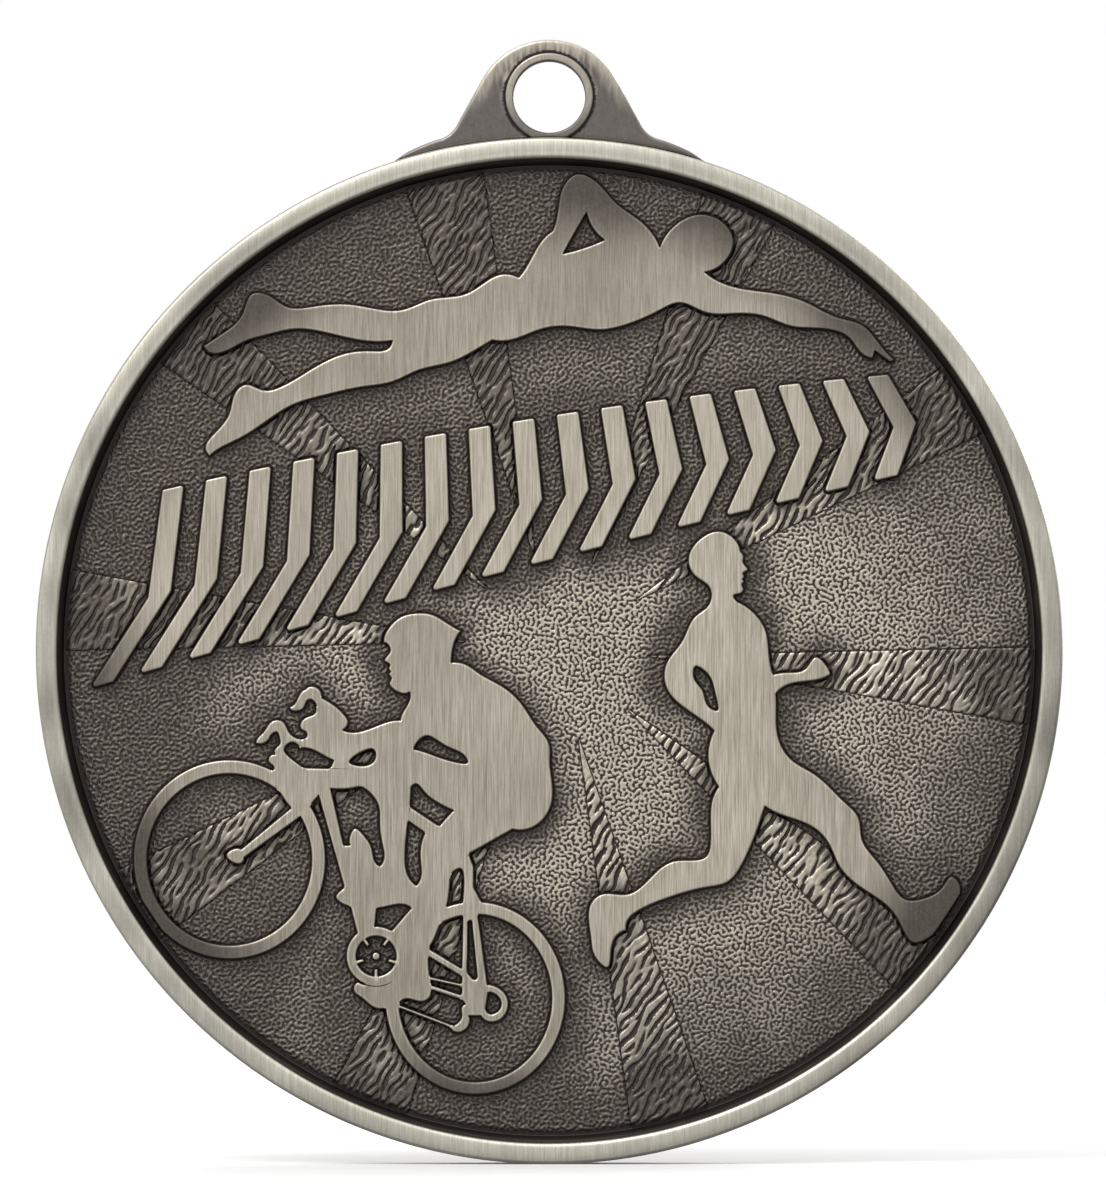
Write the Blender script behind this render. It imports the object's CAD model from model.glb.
"""Looks of the sports finisher medal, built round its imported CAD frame.

Shapes are worked out in a flat "art" frame in millimetres: x to the right, y up and z out of the
face, with its origin at the disc's centre. to_world() stands them up in metres.
"""

import math

import bmesh
import bpy
import numpy as np
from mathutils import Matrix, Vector
from mathutils.geometry import delaunay_2d_cdt
from mathutils.kdtree import KDTree


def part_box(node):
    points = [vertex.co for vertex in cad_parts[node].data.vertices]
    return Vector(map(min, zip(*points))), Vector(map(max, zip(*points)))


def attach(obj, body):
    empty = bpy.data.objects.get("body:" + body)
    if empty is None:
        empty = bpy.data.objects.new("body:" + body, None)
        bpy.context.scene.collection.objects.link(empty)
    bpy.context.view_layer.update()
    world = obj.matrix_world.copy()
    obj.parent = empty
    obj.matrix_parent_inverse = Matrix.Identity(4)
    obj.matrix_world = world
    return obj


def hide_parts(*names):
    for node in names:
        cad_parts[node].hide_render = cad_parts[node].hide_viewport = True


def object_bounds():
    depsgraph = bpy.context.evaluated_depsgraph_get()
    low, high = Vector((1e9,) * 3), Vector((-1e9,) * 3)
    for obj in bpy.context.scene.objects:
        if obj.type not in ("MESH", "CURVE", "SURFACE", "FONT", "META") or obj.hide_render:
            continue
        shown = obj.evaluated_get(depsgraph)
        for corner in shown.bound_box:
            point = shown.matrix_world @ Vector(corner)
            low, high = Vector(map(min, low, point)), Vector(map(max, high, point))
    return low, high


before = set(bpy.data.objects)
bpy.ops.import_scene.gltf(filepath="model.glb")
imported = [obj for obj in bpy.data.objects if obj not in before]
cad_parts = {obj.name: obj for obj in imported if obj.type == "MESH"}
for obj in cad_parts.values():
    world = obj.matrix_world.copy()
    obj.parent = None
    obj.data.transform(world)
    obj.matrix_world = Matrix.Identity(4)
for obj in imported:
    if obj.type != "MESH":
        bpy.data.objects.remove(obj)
cad_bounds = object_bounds()

# ---- sizes of the art frame, in millimetres -------------------------------------------------------

MM = 0.001
RIM_LOW, RIM_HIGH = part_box("rim_ring")
DISC_RADIUS = (RIM_HIGH.x - RIM_LOW.x) / 2 / MM
DISC_CENTRE_Z = (RIM_HIGH.z + RIM_LOW.z) / 2
HALF_THICKNESS = RIM_HIGH.y / MM
HOLE_CENTRE = np.array((0, -DISC_CENTRE_Z / MM))

RIM_EDGE_ROUND = 0.25
RIM_TOP_INNER_RADIUS = 25.15
RIM_SLOPE_RADIUS = 24.9
RIM_LIP_ROUND = 0.24
RIM_LIP_POLISH = (0.1, 0.4, 0.7, 0.9, 1, 1, 1)
RIM_CROWN = 0.03
EDGE_BAND_RADIUS = 25.55
RIM_CORNER = (DISC_RADIUS - RIM_EDGE_ROUND, HALF_THICKNESS - RIM_EDGE_ROUND - RIM_CROWN)
RIM_SEGMENTS = 720
RIM_UNEVENNESS = 0.004
RIM_WEAR = 0.3
EDGE_POLISH = 0.55
RIM_BORE_RADIUS = 24.6
MOAT_FLOOR = 0.42
MOAT_POLISH = -0.4

FIELD_RADIUS = 24.3
FIELD_REACH = 24.52
FIELD_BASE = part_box("medal_blank")[0].y / -MM
FIELD_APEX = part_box("domed_field")[0].y / -MM
REVERSE_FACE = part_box("medal_blank")[1].y / -MM
GROOVE_WIDTH = 0.07
GROOVE_DEPTH = 0.04
FOOT_DEPTH = 0.03
SHADOW_DEPTH = 0.08
EDGE_SHADOW_START = FIELD_REACH - 0.3
EDGE_SHADOW_END = FIELD_REACH - 0.05
DOME_RISE = 0.5
DOME_RADIUS = (FIELD_RADIUS**2 + DOME_RISE**2) / (2 * DOME_RISE)
RELIEF_HEIGHT = 0.45

LUG_LOW, LUG_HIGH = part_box("suspension_lug")
LUG_FRONT = LUG_LOW.y / -MM
LUG_BACK = LUG_HIGH.y / -MM
COLLAR_RADIUS = 2.23
COLLAR_HEIGHT = 0.15
COLLAR_SINK = 0.1
COLLAR_ROUND = 0.1
LUG_ROUND = 0.16
PLATE_STEP = 0.08

RAY_COUNT = 10
RAY_CENTRE = np.array((0.4, 0.1))
RAY_TIP_RADIUS = 4.7
RAY_FIRST_ANGLE = math.radians(-4.5)
RAY_STEP = 2 * math.pi / RAY_COUNT
RAY_HALF_ANGLE = math.radians(5.75)
RAY_HEIGHT = 0.06
RAY_LIP = 0.07
GLOW_CENTRE = np.array((3.0, 0.0))

# ---- sizes of the finish, in millimetres ----------------------------------------------------------

FIELD_STEP = 0.053
REVERSE_STEP = 0.155
REVERSE_SEGMENTS = 1080
COVER_MARGIN = 0.15
HIDDEN_STEP = 0.35
OUTLINE_STEP = 0.09
TOP_STEP = 0.35
CORNER = math.radians(38)

RELIEF_ROUND = 0.09
RELIEF_DRAFT = 0.06
SHARED_EDGE = 0.07
RELIEF_SINK = 0.12
RELIEF_WAVE = 0.006
RELIEF_WALL_STEPS = 3
LAPPED_LEAST = 0.08
EDGE_GLINT = 0.95

WORM_SPREAD = 0.31
WORM_PERIOD = 0.255
WORM_HEIGHT = 0.031
CHISEL_SPREAD = 0.3
CHISEL_PERIOD = 0.41
CHISEL_LENGTH = 1.7
CHISEL_SLANT = math.radians(57)
CHISEL_WAVE = 0.03
CHISEL_HEIGHT = 0.05
PEBBLE_PERIOD = 0.44
PEBBLE_HEIGHT = 0.022
STREAK_WAVES_ACROSS = 4.0
STREAK_WAVES_UP = 0.7
NOISE_STEP = 0.05
NOISE_COUNT = 1040

RELIEFS = ["swimmer", "runner", "rider", "handlebar", "front_frame", "rear_frame", "chainring",
           "chain", "front_wheel", "rear_wheel"]
CHEVRONS = sorted(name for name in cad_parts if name.startswith("band_chevron"))
RELIEF_TONES = {"swimmer": 0.72, "runner": 0.92}
CYCLIST_TONE = 0.76
CHEVRON_TONE = 0.93


def to_world(points):
    """Art-frame millimetres to metres in the medal's own frame."""
    points = np.asarray(points, float)
    return np.stack([points[:, 0] * MM, -points[:, 2] * MM, points[:, 1] * MM + DISC_CENTRE_Z], 1)


def smoothstep(low, high, value):
    """Smooth share from 0 at low to 1 at high, which may be the smaller of the two."""
    share = np.clip((value - low) / (high - low), 0, 1)
    return share * share * (3 - 2 * share)


def radius_of(points):
    """Distance of points from the disc's centre."""
    return np.hypot(points[:, 0], points[:, 1])


def dome(points):
    """Height of the domed field under points of the art frame."""
    return FIELD_APEX - DOME_RADIUS + np.sqrt(DOME_RADIUS**2 - radius_of(points)**2)


# ---- seeded surface noise -------------------------------------------------------------------------

def filtered_noise(seed, weight):
    """Square of random noise with unit spread, shaped by a weight on its waves per millimetre."""
    waves = np.fft.fftfreq(NOISE_COUNT, NOISE_STEP)
    across, up = np.meshgrid(waves, waves)
    random = np.random.default_rng(seed).standard_normal((NOISE_COUNT, NOISE_COUNT))
    noise = np.fft.ifft2(np.fft.fft2(random) * weight(across, up)).real
    return noise / noise.std()


def bell(value, centre, width):
    """Bell curve of height 1."""
    return np.exp(-((value - centre) / width) ** 2 / 2)


def worm_noise(seed, period):
    """Even, directionless ridges that wander like a labyrinth."""
    def weight(across, up):
        return bell(np.hypot(across, up), 1 / period, WORM_SPREAD / period)
    return filtered_noise(seed, weight)


def chisel_noise(seed):
    """Long strokes that all slant one way."""
    def weight(across, up):
        along = across * math.cos(CHISEL_SLANT) + up * math.sin(CHISEL_SLANT)
        over = -across * math.sin(CHISEL_SLANT) + up * math.cos(CHISEL_SLANT)
        stroke = bell(np.abs(over), 1 / CHISEL_PERIOD, CHISEL_SPREAD / CHISEL_PERIOD)
        return stroke * bell(along, 0, 1 / CHISEL_LENGTH)
    return filtered_noise(seed, weight)


def soft_noise(seed, period):
    """Cloudy variation."""
    return filtered_noise(seed, lambda across, up: bell(np.hypot(across, up), 0, 0.5 / period))


def streak_noise(seed):
    """Thin upright streaks of uneven length."""
    return filtered_noise(seed, lambda across, up: bell(across, 0, STREAK_WAVES_ACROSS)
                          * bell(up, 0, STREAK_WAVES_UP))


def sample(noise, points):
    """A noise square read at points, blended between its four nearest values."""
    place = points[:, :2] / NOISE_STEP + NOISE_COUNT / 2
    low = np.floor(place).astype(int)
    share = place - low
    low %= NOISE_COUNT
    high = (low + 1) % NOISE_COUNT
    left = noise[low[:, 1], low[:, 0]] * (1 - share[:, 1]) + noise[high[:, 1], low[:, 0]] * share[:, 1]
    right = noise[low[:, 1], high[:, 0]] * (1 - share[:, 1]) + noise[high[:, 1], high[:, 0]] * share[:, 1]
    return left * (1 - share[:, 0]) + right * share[:, 0]


# ---- outlines read from the CAD nodes -------------------------------------------------------------

def face_loops(name):
    """Closed outlines of the front face of a CAD node, in the art frame."""
    mesh = bmesh.new()
    mesh.from_mesh(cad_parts[name].data)
    bmesh.ops.remove_doubles(mesh, verts=mesh.verts, dist=1e-7)
    mesh.normal_update()
    # A dict keeps the mesh's order, where a set would start the outlines elsewhere in each run.
    front = dict.fromkeys(face for face in mesh.faces if face.normal.y < -0.9)
    onward = {}
    for face in front:
        for loop in face.loops:
            if sum(other in front for other in loop.edge.link_faces) == 1:
                onward.setdefault(loop.vert, []).append(loop.link_loop_next.vert)
    loops = []
    while onward:
        vert = next(iter(onward))
        loop = []
        while vert in onward:
            loop.append((vert.co.x / MM, (vert.co.z - DISC_CENTRE_Z) / MM))
            following = onward[vert].pop()
            if not onward[vert]:
                del onward[vert]
            vert = following
        loops.append(np.array(loop))
    mesh.free()
    return [smooth_loop(loop) for loop in loops if len(loop) > 2]


def smooth_loop(loop):
    """The outline as a smooth curve through its points, with its corners kept, in even steps."""
    chords = np.roll(loop, -1, 0) - loop
    before = np.roll(chords, 1, 0)
    cross = before[:, 0] * chords[:, 1] - before[:, 1] * chords[:, 0]
    turn = np.abs(np.arctan2(cross, (before * chords).sum(1)))
    tangent = before + chords
    tangent /= np.maximum(np.linalg.norm(tangent, axis=1), 1e-9)[:, None]
    corner = turn > CORNER
    points = []
    for number, chord in enumerate(chords):
        following = (number + 1) % len(loop)
        length = np.linalg.norm(chord)
        start = chord if corner[number] else tangent[number] * length
        end = chord if corner[following] else tangent[following] * length
        pieces = max(1, round(length / OUTLINE_STEP))
        for share in np.arange(pieces) / pieces:
            curve = share * share * (3 - 2 * share)
            lean_start = share * (1 - share) ** 2
            lean_end = -share * share * (1 - share)
            points.append(loop[number] + chord * curve + start * lean_start + end * lean_end)
    return thinned(np.array(points))


def thinned(loop):
    """A loop without points that crowd within a third of a step of the one before."""
    kept = [loop[0]]
    for point in loop[1:]:
        if np.linalg.norm(point - kept[-1]) > OUTLINE_STEP / 3:
            kept.append(point)
    return np.array(kept)


def segments_of(loops):
    """Starts and ends of the straight stretches of closed outlines."""
    return np.concatenate([np.stack([loop, np.roll(loop, -1, 0)], 1) for loop in loops])


def inside(points, segments):
    """Which points lie inside a region, by counting the stretches that cross to their left."""
    order = np.argsort(points[:, 1])
    heights = points[order, 1]
    crossings = np.zeros(len(points), int)
    for (x0, y0), (x1, y1) in segments.tolist():
        low, high = np.searchsorted(heights, sorted((y0, y1)))
        near = order[low:high]
        if len(near):
            crossing_x = x0 + (points[near, 1] - y0) * (x1 - x0) / (y1 - y0)
            crossings[near] += points[near, 0] > crossing_x
    return crossings % 2 == 1


def tree_of(loops):
    """Search tree over the points of outlines."""
    points = np.concatenate(loops)
    tree = KDTree(len(points))
    for number, (x, y) in enumerate(points):
        tree.insert((x, y, 0), number)
    tree.balance()
    return tree


def distances(points, tree):
    """Distance of each point from the nearest point in a tree."""
    return np.array([tree.find((x, y, 0))[2] for x, y in points[:, :2].tolist()])


# ---- meshes -----------------------------------------------------------------------------------------

def hexagonal(low, high, step):
    """Evenly spread points over a box."""
    rows = np.arange(low[1], high[1], step * math.sqrt(0.75))
    columns = np.arange(low[0], high[0], step)
    x, y = np.meshgrid(columns, rows)
    x[1::2] += step / 2
    return np.stack([x.ravel(), y.ravel()], 1)


def triangulated(points, chains):
    """Triangles over points, along chains of points that come first and may be closed."""
    corners = []
    edges = []
    for chain, closed in chains:
        first = len(corners)
        corners.extend(chain.tolist())
        last = len(corners) - 1
        edges.extend((number, number + 1) for number in range(first, last))
        if closed:
            edges.append((last, first))
    corners.extend(points.tolist())
    found = delaunay_2d_cdt([Vector(corner) for corner in corners], edges, [], 0, 1e-7)
    return np.array([tuple(point) for point in found[0]]), np.array(found[2])


def open_edges(faces):
    """Directed edges that only one triangle has."""
    edges = np.concatenate([faces[:, (0, 1)], faces[:, (1, 2)], faces[:, (2, 0)]])
    size = faces.max() + 1
    keys = edges[:, 0] * size + edges[:, 1]
    back = edges[:, 1] * size + edges[:, 0]
    return edges[~np.isin(keys, back)]


def vertex_normals(points, faces):
    """Area-weighted normals of a triangle mesh."""
    one, two, three = (points[faces[:, corner]] for corner in range(3))
    flat = np.cross(two - one, three - one)
    normals = np.zeros_like(points)
    for corner in range(3):
        for axis in range(3):
            normals[:, axis] += np.bincount(faces[:, corner], flat[:, axis], len(points))
    return normals / np.maximum(np.linalg.norm(normals, axis=1), 1e-12)[:, None]


def make_piece(name, points, faces, polish, look, nodes, sharp=50):
    """A piece of the medal from art-frame points, in place of CAD nodes."""
    slot, material = look
    mesh = bpy.data.meshes.new(name)
    mesh.from_pydata(to_world(points), [], faces)
    attribute = mesh.attributes.new("polish", "FLOAT", "POINT")
    attribute.data.foreach_set("value", np.asarray(polish, np.float32))
    mesh.shade_smooth()
    mesh.set_sharp_from_angle(angle=math.radians(sharp))
    mesh.materials.append(material)
    piece = bpy.data.objects.new(name, mesh)
    bpy.context.scene.collection.objects.link(piece)
    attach(piece, "root")
    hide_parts(*nodes)
    return piece


def packed(faces, points):
    """A part of a mesh with only the points that its faces use, and which those are."""
    used, faces = np.unique(faces, return_inverse=True)
    return used, faces.reshape(-1, 3), points[used]


def underside(flat, edges):
    """Triangles that close the underside of a patch, over the points of its open edges alone."""
    numbers = np.unique(edges)
    rank = np.zeros(len(flat), int)
    rank[numbers] = np.arange(len(numbers))
    corners = [Vector(point) for point in flat[numbers].tolist()]
    found = delaunay_2d_cdt(corners, rank[edges].tolist(), [], 0, 1e-7)
    faces = np.array(found[2])
    return numbers, faces[inside(flat[numbers][faces].mean(1), flat[edges])]


def closed_patch(flat, heights, faces, base, outward=0.0, steps=1):
    """A height field as a closed block down to a base, its walls leaning outward a little."""
    edges = open_edges(faces)
    numbers, under = underside(flat, edges)
    rank = {number: index for index, number in enumerate(numbers.tolist())}
    spread = np.zeros((len(numbers), 2))
    for one, two in edges.tolist():
        along = flat[two] - flat[one]
        side = np.array((along[1], -along[0])) / np.linalg.norm(along)
        spread[rank[one]] += side
        spread[rank[two]] += side
    spread /= np.maximum(np.linalg.norm(spread, axis=1), 1e-9)[:, None]
    points = [np.column_stack([flat, heights])]
    count = len(flat)
    above = numbers
    quads = []
    for step in range(1, steps + 1):
        share = step / steps
        level = heights[numbers] * (1 - share) + base * share
        points.append(np.column_stack([flat[numbers] + spread * outward * share, level]))
        below = np.arange(count, count + len(numbers))
        for one, two in edges.tolist():
            one, two = rank[one], rank[two]
            quads.append((above[two], above[one], below[one]))
            quads.append((above[two], below[one], below[two]))
        above = below
        count += len(numbers)
    bottom = above[under][:, ::-1]
    return np.concatenate(points), np.concatenate([faces, np.array(quads), bottom]), numbers


# ---- raised plates: figures, chevrons, lug and collars -----------------------------------------------

def ring_points(loops, tree, depth):
    """Points a depth inside the outlines, without those that come nearer to another stretch."""
    rings = []
    for loop in loops:
        along = np.roll(loop, -1, 0) - np.roll(loop, 1, 0)
        inward = np.stack([-along[:, 1], along[:, 0]], 1) / np.linalg.norm(along, axis=1)[:, None]
        rings.append(loop + inward * depth)
    points = np.concatenate(rings)
    return points[distances(points, tree) > depth * 0.9]


def plate_surface(loops, rounding, step):
    """Triangles over a region, with rings of points along its edge for a rounded shape."""
    tree = tree_of(loops)
    segments = segments_of(loops)
    depths = rounding * np.array((0.12, 0.35, 0.65, 1.0, 1.6))
    rings = np.concatenate([ring_points(loops, tree, depth) for depth in depths])
    low = np.min([loop.min(0) for loop in loops], 0)
    high = np.max([loop.max(0) for loop in loops], 0)
    spread = hexagonal(low, high, step)
    spread = spread[distances(spread, tree) > depths[-1] + step / 3]
    points = np.concatenate([rings, spread])
    points = points[inside(points, segments)]
    flat, faces = triangulated(points, [(loop, True) for loop in loops])
    faces = faces[inside(flat[faces].mean(1), segments)]
    _, faces, flat = packed(faces, flat)
    return flat, faces


def rounded(depth, rounding):
    """How far a rounded edge has dropped at a depth inside the outline."""
    short = np.clip(1 - depth / rounding, 0, 1)
    return rounding * (1 - np.sqrt(1 - short**2))


def relief_polish(flat, depth, tone):
    """How far the lapping reached over a figure's top, and the polish that it left there."""
    radius = radius_of(flat)
    reached = smoothstep(23.2, 19.4, radius + 0.2 * sample(CLOUDS, flat))
    lapped = LAPPED_LEAST + (1 - LAPPED_LEAST) * reached
    tone = tone - 0.12 * smoothstep(11, 20, radius) + 0.06 * sample(BROAD_CLOUDS, flat)
    bevel = 0.55 + 0.45 * smoothstep(0, 0.07, depth)
    return lapped, lapped * bevel * np.maximum(tone, EDGE_GLINT * smoothstep(0.2, 0.08, depth))


def relief_piece(name, look, outlines, tone):
    """A figure or chevron, flat-topped over the dome, its edge rounded where it stands free."""
    loops = outlines[name]
    flat, faces = plate_surface(loops, RELIEF_ROUND, TOP_STEP)
    beside = tree_of([loop for other, others in outlines.items() if other != name for loop in others])
    free = [loop[distances(loop, beside) > SHARED_EDGE] for loop in loops]
    depth = distances(flat, tree_of(free))
    wave = RELIEF_WAVE * (1 - sample(CLOUDS, flat)) * smoothstep(0, 0.5, depth)
    heights = dome(flat) + RELIEF_HEIGHT - rounded(depth, RELIEF_ROUND) - wave
    base = float(dome(flat).min()) - RELIEF_SINK
    points, faces, rim = closed_patch(flat, heights, faces, base, RELIEF_DRAFT, RELIEF_WALL_STEPS)
    lapped, top_polish = relief_polish(flat, depth, tone)
    wall = len(flat)
    polish = np.zeros(len(points))
    polish[:wall] = top_polish
    polish[wall:wall + len(rim)] = 0.1 * lapped[rim]
    polish[wall + len(rim):] = -1
    return make_piece(name + "_relief", points, faces, polish, look, [name])


def plate_piece(node, look, front, back, rounding, step, polish_of):
    """A flat plate with the same rounded edge on both sides."""
    loops = face_loops(node)
    flat, faces = plate_surface(loops, rounding, step)
    depth = distances(flat, tree_of(loops))
    drop = rounded(depth, rounding)
    edges = open_edges(faces)
    count = len(flat)
    points = np.concatenate([np.column_stack([flat, front - drop]), np.column_stack([flat, back + drop])])
    one, two = edges[:, 0], edges[:, 1]
    upper = np.stack([two, one, one + count], 1)
    lower = np.stack([two, one + count, two + count], 1)
    polish = np.tile(polish_of(flat, depth), 2)
    faces = np.concatenate([faces, upper, lower, faces[:, ::-1] + count])
    return make_piece(node + "_plate", points, faces, polish, look, [node])


# ---- sunburst field -------------------------------------------------------------------------------

def ray_place(points):
    """Nearest ray of each point, and its distance outside (or depth inside) that ray's edges."""
    offset = points[:, :2] - RAY_CENTRE
    angle = np.arctan2(offset[:, 1], offset[:, 0]) - RAY_FIRST_ANGLE
    number = np.round(angle / RAY_STEP).astype(int) % RAY_COUNT
    turn = RAY_FIRST_ANGLE + number * RAY_STEP
    along = offset[:, 0] * np.cos(turn) + offset[:, 1] * np.sin(turn) - RAY_TIP_RADIUS
    aside = np.abs(offset[:, 1] * np.cos(turn) - offset[:, 0] * np.sin(turn))
    edge = aside * math.cos(RAY_HALF_ANGLE) - along * math.sin(RAY_HALF_ANGLE)
    behind = along * math.cos(RAY_HALF_ANGLE) + aside * math.sin(RAY_HALF_ANGLE) < 0
    return number, np.where(behind, np.hypot(along, aside), edge)


def sector_of(points):
    """Number of the field sector that each point lies in, between the middles of two rays."""
    offset = points[:, :2] - RAY_CENTRE
    angle = np.arctan2(offset[:, 1], offset[:, 0]) - RAY_FIRST_ANGLE
    return np.floor(angle / RAY_STEP).astype(int) % RAY_COUNT


def on_circle(start, direction, radius):
    """How far along a direction from a start the circle about the disc's centre lies."""
    middle = start @ direction
    return -middle + math.sqrt(middle**2 - start @ start + radius**2)


def stretch(start, end, step):
    """Evenly spaced points from a start to an end."""
    count = max(2, round(np.linalg.norm(end - start) / step) + 1)
    return start + np.linspace(0, 1, count)[:, None] * (end - start)


def heading(angle):
    """Unit vector at an angle."""
    return np.array((math.cos(angle), math.sin(angle)))


def field_chains():
    """Lines that the field's triangles follow: sector seams, ray edges and the outer circle."""
    seams = []
    edges = []
    rim = []
    for number in range(RAY_COUNT):
        angle = RAY_FIRST_ANGLE + number * RAY_STEP
        tip = RAY_CENTRE + heading(angle) * RAY_TIP_RADIUS
        seams.append(stretch(RAY_CENTRE, tip, FIELD_STEP))
        for side in (-1, 1):
            direction = heading(angle + side * RAY_HALF_ANGLE)
            end = tip + direction * on_circle(tip, direction, FIELD_REACH)
            edges.append(stretch(tip, end, FIELD_STEP))
            rim.append(math.atan2(end[1], end[0]))
    rim = sorted(rim)
    arcs = []
    for start, end in zip(rim, rim[1:] + [rim[0] + 2 * math.pi]):
        count = round((end - start) * FIELD_REACH / FIELD_STEP)
        turns = np.linspace(start, end, count + 1)
        arcs.append(FIELD_REACH * np.stack([np.cos(turns), np.sin(turns)], 1))
    return seams + edges + arcs


def field_mesh(covers):
    """Triangles over the whole field, fine where it shows and coarse under the figures."""
    reach = FIELD_REACH - FIELD_STEP / 2
    box = np.array((reach, reach))
    tree = tree_of(covers)
    segments = segments_of(covers)
    fine = hexagonal(-box, box, FIELD_STEP)
    fine = fine[radius_of(fine) < reach]
    fine = fine[~inside(fine, segments) | (distances(fine, tree) < COVER_MARGIN)]
    coarse = hexagonal(-box, box, HIDDEN_STEP)
    coarse = coarse[inside(coarse, segments) & (radius_of(coarse) < reach)]
    coarse = coarse[distances(coarse, tree) > COVER_MARGIN + HIDDEN_STEP / 3]
    points = np.concatenate([fine, coarse])
    number, edge = ray_place(points)
    offset = points - RAY_CENTRE
    turn = RAY_FIRST_ANGLE + number * RAY_STEP
    beside = np.abs(offset[:, 1] * np.cos(turn) - offset[:, 0] * np.sin(turn))
    seam = (np.hypot(offset[:, 0], offset[:, 1]) < RAY_TIP_RADIUS) & (beside < FIELD_STEP / 2)
    points = points[(np.abs(edge) > FIELD_STEP / 2) & ~seam]
    return triangulated(points, [(chain, False) for chain in field_chains()])


def rubbed_bright(points, near, reach):
    """How far the field was rubbed bright: clear of figures and rim, and mostly below the band."""
    clear = smoothstep(0.2, reach, near + 0.25 * sample(CLOUDS, points))
    from_glow = radius_of(points - GLOW_CENTRE)
    central = smoothstep(24.5, 11.5, from_glow + 1.2 * sample(CLOUDS, points))
    band_side = 0.25 + 0.75 * smoothstep(11.0, 5.0, points[:, 1])
    return clear * central * band_side


def foot_shadow(near):
    """Dark line of patina left in the corner at the foot of every figure."""
    return smoothstep(0.17, 0.06, near)


def edge_shadow(points):
    """Dark line of patina left where the field meets the rim."""
    return smoothstep(EDGE_SHADOW_START, EDGE_SHADOW_END, radius_of(points))


def ridge_share(cut):
    """How far points of a cut surface lie on its ridges rather than in its valleys."""
    return smoothstep(-0.5, 0.5, cut)


def field_surface(points, near):
    """Height and polish of the labyrinth between the rays."""
    worms = np.tanh(2.2 * (sample(WORMS, points) + 0.22))
    bright = rubbed_bright(points, near, 2.2)
    outside = np.maximum(ray_place(points)[1], 0)
    groove = np.exp(-(outside / GROOVE_WIDTH) ** 2)
    edge = edge_shadow(points)
    foot = foot_shadow(near)
    relief = WORM_HEIGHT * (1 - 0.5 * bright) * (1 - foot) * (1 - edge)
    heights = dome(points) + relief * (worms - 1)
    heights = heights - GROOVE_DEPTH * groove - SHADOW_DEPTH * edge - FOOT_DEPTH * foot
    ridge = ridge_share(worms)
    polish = ridge * (0.09 + 0.9 * bright) - (1 - ridge) * (0.12 + 0.22 * bright)
    shadow = np.maximum(groove, edge)
    polish = polish * (1 - shadow) - 0.55 * shadow
    return heights, polish * (1 - foot) - 0.85 * foot


def ray_surface(points, near):
    """Height and polish of the chiselled strokes of a ray."""
    bent = points + CHISEL_WAVE * sample(BENDS, points)[:, None] * np.array((1, -1))
    from_centre = radius_of(points - RAY_CENTRE)
    tip = smoothstep(RAY_TIP_RADIUS + 2.6, RAY_TIP_RADIUS, from_centre)
    strokes = np.tanh(2.6 * (sample(STROKES, bent) + 0.4 + 1.2 * tip))
    grain = 0.12 * sample(FINE_CLOUDS, points)
    bright = rubbed_bright(points, near, 0.9)
    outer = smoothstep(23.0, 19.0, radius_of(points) + 0.8 * sample(CLOUDS, points))
    band_side = 0.15 + 0.85 * smoothstep(13.0, 8.0, points[:, 1])
    depth = -ray_place(points)[1]
    lip = smoothstep(0, RAY_LIP, depth)
    shadow = np.maximum(edge_shadow(points), foot_shadow(near))
    relief = CHISEL_HEIGHT * (strokes - 1 + grain) * (1 - shadow)
    heights = dome(points) + RAY_HEIGHT + relief - 0.03 * (1 - lip) - SHADOW_DEPTH * shadow
    ridge = ridge_share(strokes)
    shine = outer * band_side * np.maximum(bright, 0.6 * smoothstep(0.15, 0.7, near))
    polish = ridge * (0.08 + (0.84 + grain) * shine) - (1 - ridge) * (0.16 + 0.3 * shine)
    return heights, polish * (1 - shadow) - 0.75 * shadow


def build_field(field_look, ray_look, outlines):
    """The field in sectors that meet without a seam, and the rays between them."""
    covers = [loop for loops in outlines.values() for loop in loops]
    flat, faces = field_mesh(covers)
    near = distances(flat, tree_of(covers))
    middle = flat[faces].mean(1)
    on_ray = ray_place(middle)[1] < 0
    number = ray_place(middle)[0]
    sector = sector_of(middle)
    heights, polish = field_surface(flat, near)
    ray_heights, ray_polish = ray_surface(flat, near)
    normals = vertex_normals(np.column_stack([flat, heights]), faces)
    for index in range(RAY_COUNT):
        label = f"{index + 1:02d}"
        part = faces[~on_ray & (sector == index)]
        used, part, _ = packed(part, flat)
        block, walls, _ = closed_patch(flat[used], heights[used], part, FIELD_BASE)
        piece = make_piece("field_" + label, block, walls, padded(polish[used], len(block)), field_look,
                           ["domed_field"])
        share_normals(piece, normals[used], len(part))
        part = faces[on_ray & (number == index)]
        used, part, _ = packed(part, flat)
        block, walls, _ = closed_patch(flat[used], ray_heights[used], part, FIELD_BASE)
        make_piece("ray_" + label, block, walls, padded(ray_polish[used], len(block)), ray_look,
                   ["sun_ray_" + label])


def padded(values, count):
    """Values of a surface's points with dark ones added for its walls."""
    return np.concatenate([values, np.zeros(count - len(values))])


def share_normals(piece, normals, top_faces):
    """Give a sector's surface the whole field's normals, so that no seam shows between sectors."""
    mesh = piece.data
    corners = np.zeros((len(mesh.loops), 3), np.float32)
    verts = np.zeros(len(mesh.loops), int)
    mesh.loops.foreach_get("vertex_index", verts)
    world = np.stack([normals[:, 0], -normals[:, 2], normals[:, 1]], 1)
    corners[:top_faces * 3] = world[verts[:top_faces * 3]]
    smooth = np.zeros(len(mesh.polygons), bool)
    smooth[:top_faces] = True
    mesh.polygons.foreach_set("use_smooth", smooth)
    mesh.normals_split_custom_set(corners.tolist())


# ---- turned and plain pieces ------------------------------------------------------------------------

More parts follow.
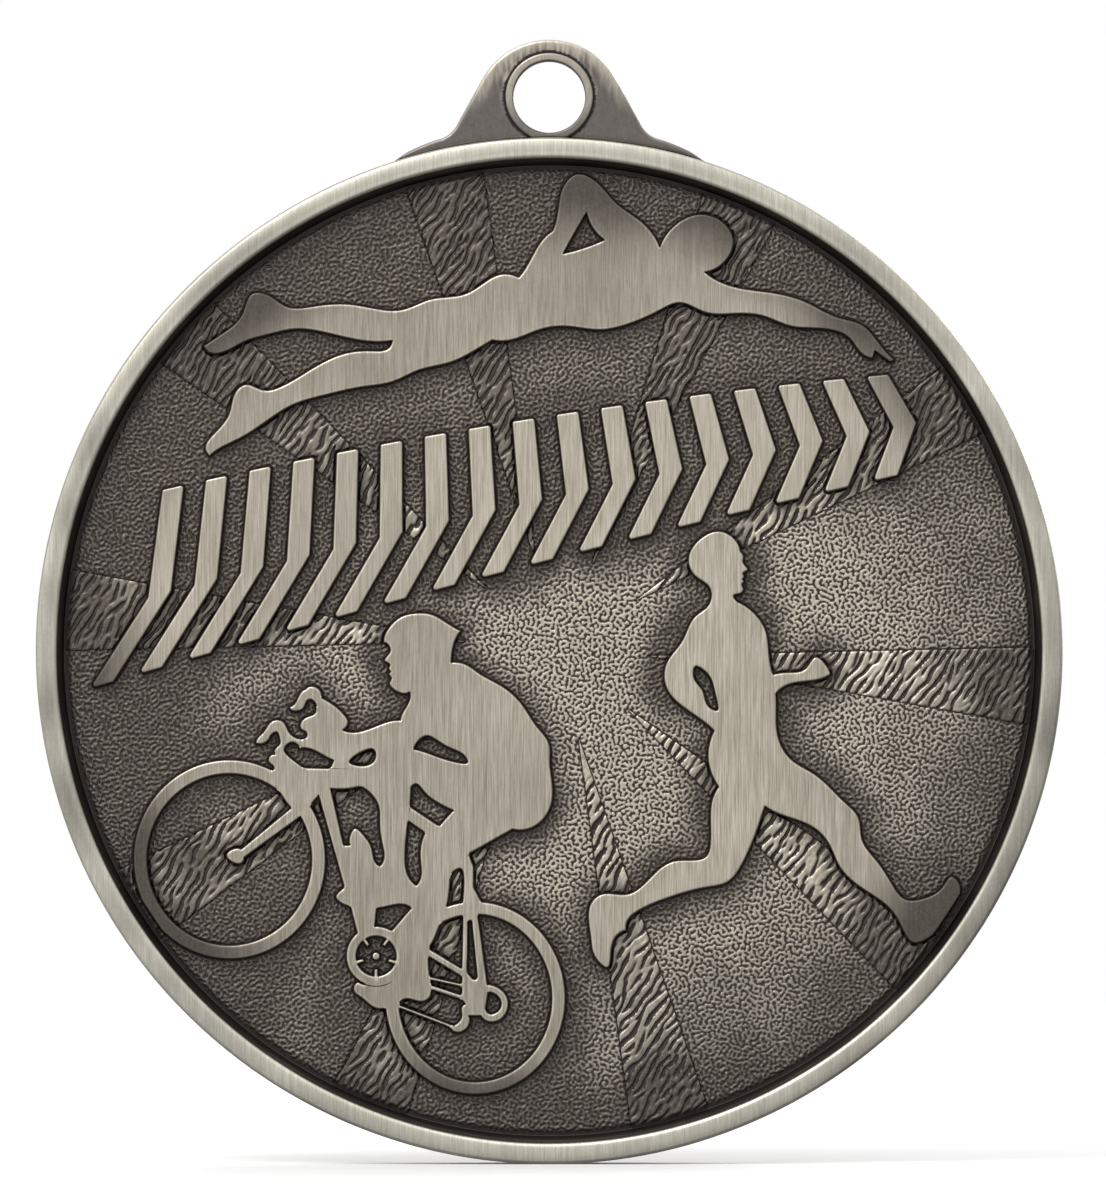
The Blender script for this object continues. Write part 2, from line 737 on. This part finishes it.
def arc_profile(centre, radius, start, end, count):
    """Points of a profile's rounded corner."""
    turns = np.radians(np.linspace(start, end, count))
    return [(centre[0] + radius * math.cos(turn), centre[1] + radius * math.sin(turn)) for turn in turns]


def rim_profile():
    """Half of the rim's section, from the bore over the front to the band round its outer edge."""
    top = HALF_THICKNESS
    lip = (RIM_TOP_INNER_RADIUS, top - RIM_LIP_ROUND)
    wall = [(RIM_BORE_RADIUS, MOAT_FLOOR - 0.05, -0.4), (RIM_BORE_RADIUS + 0.08, 0.8, -0.12),
            (RIM_SLOPE_RADIUS - 0.07, top - RIM_LIP_ROUND - 0.12, 0.2)]
    inner = [(radius, height, polish) for (radius, height), polish in
             zip(arc_profile(lip, RIM_LIP_ROUND, 175, 95, 7), RIM_LIP_POLISH)]
    crown = [(RIM_TOP_INNER_RADIUS + 0.05, top - 0.004, 0.95), (RIM_TOP_INNER_RADIUS + 0.2, top, 0.85),
             (RIM_TOP_INNER_RADIUS + 0.4, top - 0.3 * RIM_CROWN, 0.85)]
    outer = [(radius, height, 0.9) for radius, height in arc_profile(RIM_CORNER, RIM_EDGE_ROUND, 72, 40, 4)]
    return wall + inner + crown + outer + [(EDGE_BAND_RADIUS, outer[-1][1], 0.0)]


def turned_piece(name, profile, look, nodes, unevenness=0.0, wear=0.0):
    """A closed ring turned from a profile of radius, height and polish.

    Unevenness waves its front and back, and wear takes polish off its left and right sides.
    """
    segments = RIM_SEGMENTS
    profile = np.array(profile)
    turns = np.arange(segments) * 2 * math.pi / segments
    radius, height, polish = profile[:, 0], profile[:, 1], profile[:, 2]
    x = np.outer(np.cos(turns), radius)
    y = np.outer(np.sin(turns), radius)
    points = np.stack([x, y, np.broadcast_to(height, x.shape)], 2).reshape(-1, 3)
    rough = (sample(CLOUDS, points) - 2) * unevenness * (np.abs(points[:, 2]) > HALF_THICKNESS - 0.2)
    points[:, 2] += rough * np.sign(points[:, 2])
    count = len(profile)
    ring = np.arange(segments)[:, None] * count
    following = (np.arange(segments)[:, None] + 1) % segments * count
    here = np.arange(count)[None]
    there = (here + 1) % count
    quads = np.stack([ring + here, following + here, following + there, ring + there], 2).reshape(-1, 4)
    aside = np.abs(points[:, 0]) / radius_of(points)
    worn = wear * aside * np.clip(0.9 + 0.4 * sample(CLOUDS, points), 0, 2)
    return make_piece(name, points, quads.tolist(), np.tile(polish, segments) - worn, look, nodes)


def build_rim(look):
    """The raised ring, front and back, up to the band round its outer edge."""
    front = rim_profile()
    back = [(radius, -height, polish) for radius, height, polish in reversed(front)]
    back[-1] = (RIM_BORE_RADIUS, REVERSE_FACE, 0.0)
    turned_piece("rim", front + back, look, ["rim_ring"], RIM_UNEVENNESS, RIM_WEAR)


def build_rim_edge(look):
    """The band round the outer edge, brushed along its length."""
    arc = arc_profile(RIM_CORNER, RIM_EDGE_ROUND, 40, 0, 6)
    front = [(radius, height, EDGE_POLISH) for radius, height in arc]
    front.insert(0, (EDGE_BAND_RADIUS, front[0][1], 0.0))
    back = [(radius, -height, polish) for radius, height, polish in reversed(front)]
    turned_piece("rim_edge_band", front + back, look, ["rim_ring"])


def build_moat(look):
    """The narrow dark floor between the field and the rim."""
    inner = FIELD_REACH - 0.02
    corners = [(inner, FIELD_BASE), (RIM_BORE_RADIUS, FIELD_BASE),
               (RIM_BORE_RADIUS, MOAT_FLOOR + 0.02), (inner, MOAT_FLOOR)]
    profile = [(radius, height, MOAT_POLISH) for radius, height in corners]
    turned_piece("moat", profile, look, ["domed_field"])


def build_reverse(look):
    """Plain disc whose back carries the fine wriggled texture of the reverse."""
    reach = RIM_BORE_RADIUS
    points = hexagonal((-reach, -reach), (reach, reach), REVERSE_STEP)
    points = points[radius_of(points) < reach - REVERSE_STEP / 2]
    turns = np.arange(REVERSE_SEGMENTS) * 2 * math.pi / REVERSE_SEGMENTS
    circle = reach * np.stack([np.cos(turns), np.sin(turns)], 1)
    flat, faces = triangulated(points, [(circle, True)])
    pebble = np.tanh(1.5 * (sample(PEBBLES, flat) + 0.3))
    edge = smoothstep(reach - 0.5, reach, radius_of(flat))
    height = -REVERSE_FACE + PEBBLE_HEIGHT * (pebble - 1) * (1 - edge) - 0.02 * edge
    block, walls, _ = closed_patch(flat, height, faces, -FIELD_BASE)
    rubbed = 0.3 + 0.25 * smoothstep(22, 6, radius_of(flat)) + 0.03 * sample(BROAD_CLOUDS, flat)
    polish = padded(rubbed * (0.5 + 0.5 * pebble) * (1 - edge) - 0.7 * edge, len(block))
    turned = block * (-1, 1, -1)
    make_piece("reverse_disc", turned, walls, polish, look, ["medal_blank"])


def lug_polish(flat, depth):
    """Bright rubbed edges along the top and the flanks of the lug, fading towards the disc."""
    from_hole = np.hypot(*(flat - HOLE_CENTRE).T)
    streak = smoothstep(0.9, 0.1, depth + 0.13 * sample(STREAKS, flat))
    high = smoothstep(26.8, 29.4, flat[:, 1])
    edge = 0.5 * smoothstep(0.14, 0.02, depth)
    polish = np.maximum(streak * high, edge * smoothstep(25.0, 26.5, flat[:, 1]))
    return np.where(from_hole < COLLAR_RADIUS + 0.12, -0.8, 0.06 + 0.8 * polish)


def collar_polish(flat, depth):
    """Brighter towards the top of the collar, and darker at its edges."""
    return 0.16 + 0.5 * smoothstep(26.4, 28.4, flat[:, 1]) - 0.4 * smoothstep(0.1, 0.0, depth)


def build_lug(look):
    """The lug and the collars round its hole, each sunk a little into the lug."""
    front = LUG_FRONT + COLLAR_HEIGHT
    back = LUG_BACK - COLLAR_HEIGHT
    plate_piece("suspension_lug", look, LUG_FRONT, LUG_BACK, LUG_ROUND, PLATE_STEP, lug_polish)
    plate_piece("lug_collar_front", look, front, LUG_FRONT - COLLAR_SINK, COLLAR_ROUND, PLATE_STEP,
                collar_polish)
    plate_piece("lug_collar_back", look, LUG_BACK + COLLAR_SINK, back, COLLAR_ROUND, PLATE_STEP,
                collar_polish)


# ---- materials --------------------------------------------------------------------------------------

class Graph:
    """Short calls for building a material's nodes."""

    def __init__(self, name):
        self.material = bpy.data.materials.new(name)
        self.material.use_nodes = True
        self.tree = self.material.node_tree
        self.shader = self.tree.nodes["Principled BSDF"]

    def add(self, kind, inputs, output=0, **settings):
        node = self.tree.nodes.new("ShaderNode" + kind)
        for key, value in settings.items():
            setattr(node, key, value)
        for key, value in inputs.items():
            self.feed(node.inputs[key], value)
        return node.outputs[output]

    def feed(self, socket, value):
        if isinstance(value, bpy.types.NodeSocket):
            self.tree.links.new(value, socket)
        else:
            socket.default_value = value

    def maths(self, operation, one, two=0.0):
        return self.add("Math", {0: one, 1: two}, operation=operation)

    def spread(self, value, low, high, to_low, to_high):
        return self.add("MapRange", {"Value": value, "From Min": low, "From Max": high,
                                     "To Min": to_low, "To Max": to_high})

    def noise(self, scale, detail=2.0, roughness=0.5):
        """Noise with its own scale per metre along each axis of the medal."""
        place = self.add("TexCoord", {}, output=3)
        place = self.add("Mapping", {"Vector": place, "Scale": scale})
        return self.add("TexNoise", {"Vector": place, "Scale": 1.0, "Detail": detail,
                                     "Roughness": roughness})

    def mix(self, share, one, two):
        return self.add("Mix", {0: share, 6: one, 7: two}, output=2, data_type="RGBA")


def colour(red, green, blue):
    """Opaque colour for a socket."""
    return (red, green, blue, 1.0)


def antique_metal(name, dark, bright, streaks, streak_strength, mottling, roughness, bump):
    """Antiqued silver plate: dark where patina stays, brushed bright where it was rubbed off."""
    graph = Graph(name)
    polish = graph.add("Attribute", {}, output=2, attribute_name="polish")
    fine = graph.noise(streaks, 3.0, 0.6)
    broad = graph.noise([scale * 0.22 for scale in streaks], 2.0)
    mottle = graph.noise((MOTTLE_SCALE,) * 3, 4.0, 0.65)
    rubbed = graph.maths("ADD", polish, graph.spread(mottle, 0.3, 0.7, -mottling, mottling))
    rubbed = graph.add("Clamp", {"Value": rubbed})
    soot = graph.add("Clamp", {"Value": graph.maths("MULTIPLY", polish, -1.0)})
    base = graph.mix(rubbed, colour(*dark), colour(*bright))
    base = graph.mix(soot, base, colour(*SOOT))
    lines = graph.maths("ADD", graph.maths("MULTIPLY", fine, 0.84), graph.maths("MULTIPLY", broad, 0.16))
    shade = graph.spread(lines, 0.3, 0.7, 1 - streak_strength, 1 + streak_strength * 0.5)
    shade = graph.add("Mix", {0: graph.spread(rubbed, 0.0, 1.0, 0.35, 1.0), 2: 1.0, 3: shade})
    shade = graph.add("CombineColor", {0: shade, 1: shade, 2: graph.maths("POWER", shade, 1.15)})
    toned = graph.add("Mix", {0: 1.0, 6: base, 7: shade}, output=2, data_type="RGBA",
                      blend_type="MULTIPLY")
    graph.feed(graph.shader.inputs["Base Color"], toned)
    graph.shader.inputs["Metallic"].default_value = 1.0
    rough = graph.spread(rubbed, 0.0, 1.0, *roughness)
    rough = graph.maths("ADD", rough, graph.spread(lines, 0.3, 0.7, 0.05, -0.05))
    graph.feed(graph.shader.inputs["Roughness"], rough)
    relief = graph.add("Bump", {"Strength": bump, "Distance": BUMP_DISTANCE, "Height": lines})
    graph.feed(graph.shader.inputs["Normal"], relief)
    return graph.material


SOOT = (0.012, 0.0095, 0.0085)
DARK_SILVER = (0.096, 0.081, 0.073)
LUG_SILVER = (0.15, 0.136, 0.128)
BRIGHT_SILVER = (0.68, 0.625, 0.52)
RIM_SILVER = (0.77, 0.735, 0.635)
UPRIGHT_BRUSH = (15000, 6000, 500)
ROUND_BRUSH = (350, 14000, 350)
LUG_BRUSH = (9000, 4000, 1500)
CAST_GRAIN = (5000, 5000, 5000)
MOTTLE_SCALE = 6000
BUMP_DISTANCE = 0.00002


# Slot; then the material's name, dark and bright colours, streak scale, streak strength, mottling,
# roughness where dark and where bright, and bump strength.
FINISHES = {
    "relief": ("polished_relief", "brushed_relief", DARK_SILVER, BRIGHT_SILVER, UPRIGHT_BRUSH,
               0.5, 0.04, (0.45, 0.36), 0.3),
    "band": ("polished_band", "brushed_band", DARK_SILVER, BRIGHT_SILVER, UPRIGHT_BRUSH,
             0.42, 0.04, (0.45, 0.36), 0.3),
    "rim": ("polished_rim", "brushed_rim", DARK_SILVER, RIM_SILVER, UPRIGHT_BRUSH,
            0.3, 0.05, (0.45, 0.38), 0.3),
    "edge": ("polished_rim", "brushed_edge", DARK_SILVER, RIM_SILVER, ROUND_BRUSH,
             0.35, 0.12, (0.45, 0.38), 0.3),
    "field": ("field_patina", "labyrinth_patina", DARK_SILVER, BRIGHT_SILVER, CAST_GRAIN,
              0.3, 0.12, (0.5, 0.45), 0.2),
    "ray": ("ray_patina", "chiselled_patina", DARK_SILVER, BRIGHT_SILVER, CAST_GRAIN,
            0.3, 0.1, (0.45, 0.4), 0.2),
    "lug": ("lug_patina", "lug_patina", LUG_SILVER, BRIGHT_SILVER, LUG_BRUSH,
            0.3, 0.04, (0.42, 0.36), 0.2),
    "reverse": ("reverse_patina", "reverse_patina", DARK_SILVER, BRIGHT_SILVER, CAST_GRAIN,
                0.3, 0.08, (0.5, 0.42), 0.2),
}


def looks():
    """Slot and material of each kind of surface."""
    return {kind: (slot, antique_metal(*finish)) for kind, (slot, *finish) in FINISHES.items()}


# ---- stage ------------------------------------------------------------------------------------------

FLOOR_HALF_WIDTH = 0.35
CAMERA_DISTANCE = 0.9
FRAME_HEIGHT = 0.06085
VIEW_OFFSET = (0.00019, 0.00257)
SENSOR_HEIGHT = 24.0
CLIP_START = 0.01
FLOOR_GREYS = (0.86, 0.92)
FLOOR_ROUGHNESS = 0.8
ROOM_LEAN = (-0.35, -0.15, 0.9)
ROOM_RANGE = 0.7
ROOM_DARKEST = 0.18
ROOM_BRIGHTEST = 1.2
SOFTBOXES = {
    "key_light": ((-0.22, -0.30, 0.40), 0.30, 1.45),
    "back_light": ((0.30, 0.28, 0.14), 0.30, 0.8),
}


def build_floor():
    """Pale floor under the medal, unseen by reflections."""
    low = cad_bounds[0][2]
    half = FLOOR_HALF_WIDTH
    mesh = bpy.data.meshes.new("floor")
    corners = [(-half, -half, low), (half, -half, low), (half, half, low), (-half, half, low)]
    mesh.from_pydata(corners, [], [(0, 1, 2, 3)])
    graph = Graph("pale_floor")
    grain = graph.noise((300, 300, 300), 3.0)
    darker, paler = (colour(grey, grey, grey) for grey in FLOOR_GREYS)
    graph.feed(graph.shader.inputs["Base Color"], graph.mix(grain, darker, paler))
    graph.shader.inputs["Roughness"].default_value = FLOOR_ROUGHNESS
    mesh.materials.append(graph.material)
    floor = bpy.data.objects.new("floor", mesh)
    bpy.context.scene.collection.objects.link(floor)
    floor.visible_glossy = False


def build_camera():
    """Camera straight in front of the medal, far off with a long lens."""
    data = bpy.data.cameras.new("camera")
    data.sensor_fit = "VERTICAL"
    data.sensor_height = SENSOR_HEIGHT
    data.lens = SENSOR_HEIGHT * CAMERA_DISTANCE / FRAME_HEIGHT
    data.clip_start = CLIP_START
    camera = bpy.data.objects.new("camera", data)
    camera.location = (VIEW_OFFSET[0], -CAMERA_DISTANCE, DISC_CENTRE_Z + VIEW_OFFSET[1])
    camera.rotation_euler = (math.pi / 2, 0, 0)
    bpy.context.scene.collection.objects.link(camera)
    bpy.context.scene.camera = camera


def softbox(name, place, size, power):
    """A square area light that faces the medal and stays out of sight."""
    data = bpy.data.lights.new(name, "AREA")
    data.size = size
    data.energy = power
    light = bpy.data.objects.new(name, data)
    light.location = place
    aim = Vector((0, 0, DISC_CENTRE_Z)) - light.location
    light.rotation_euler = aim.to_track_quat("-Z", "Y").to_euler()
    light.visible_camera = False
    bpy.context.scene.collection.objects.link(light)


def build_light():
    """A room whose reflections are brighter above and to the left, with softboxes before and behind."""
    world = bpy.data.worlds.new("studio")
    bpy.context.scene.world = world
    world.use_nodes = True
    tree = world.node_tree
    background = tree.nodes["Background"]
    place = tree.nodes.new("ShaderNodeTexCoord")
    lean = tree.nodes.new("ShaderNodeVectorMath")
    lean.operation = "DOT_PRODUCT"
    tree.links.new(place.outputs["Generated"], lean.inputs[0])
    lean.inputs[1].default_value = ROOM_LEAN
    ramp = tree.nodes.new("ShaderNodeMapRange")
    tree.links.new(lean.outputs["Value"], ramp.inputs["Value"])
    ramp.inputs["From Min"].default_value = -ROOM_RANGE
    ramp.inputs["From Max"].default_value = ROOM_RANGE
    ramp.inputs["To Min"].default_value = ROOM_DARKEST
    ramp.inputs["To Max"].default_value = ROOM_BRIGHTEST
    path = tree.nodes.new("ShaderNodeLightPath")
    mirrored = tree.nodes.new("ShaderNodeMix")
    tree.links.new(path.outputs["Is Glossy Ray"], mirrored.inputs[0])
    mirrored.inputs[2].default_value = 1.0
    tree.links.new(ramp.outputs["Result"], mirrored.inputs[3])
    tree.links.new(mirrored.outputs[0], background.inputs["Strength"])
    background.inputs["Color"].default_value = (1, 1, 1, 1)
    for name, (box_place, size, power) in SOFTBOXES.items():
        softbox(name, box_place, size, power)
    bpy.context.scene.view_settings.view_transform = "Standard"


# ---- build ------------------------------------------------------------------------------------------

WORMS = worm_noise(11, WORM_PERIOD)
STROKES = chisel_noise(23)
CLOUDS = soft_noise(37, 3.0)
BROAD_CLOUDS = soft_noise(43, 9.0)
BENDS = soft_noise(67, 0.9)
FINE_CLOUDS = soft_noise(53, 0.5)
PEBBLES = worm_noise(59, PEBBLE_PERIOD)
STREAKS = streak_noise(47)

LOOKS = looks()
OUTLINES = {name: face_loops(name) for name in RELIEFS + CHEVRONS}
build_field(LOOKS["field"], LOOKS["ray"], OUTLINES)
build_moat(LOOKS["field"])
for relief in RELIEFS:
    relief_piece(relief, LOOKS["relief"], OUTLINES, RELIEF_TONES.get(relief, CYCLIST_TONE))
for chevron in CHEVRONS:
    relief_piece(chevron, LOOKS["band"], OUTLINES, CHEVRON_TONE)
build_rim(LOOKS["rim"])
build_rim_edge(LOOKS["edge"])
build_lug(LOOKS["lug"])
build_reverse(LOOKS["reverse"])
build_floor()
build_light()
build_camera()
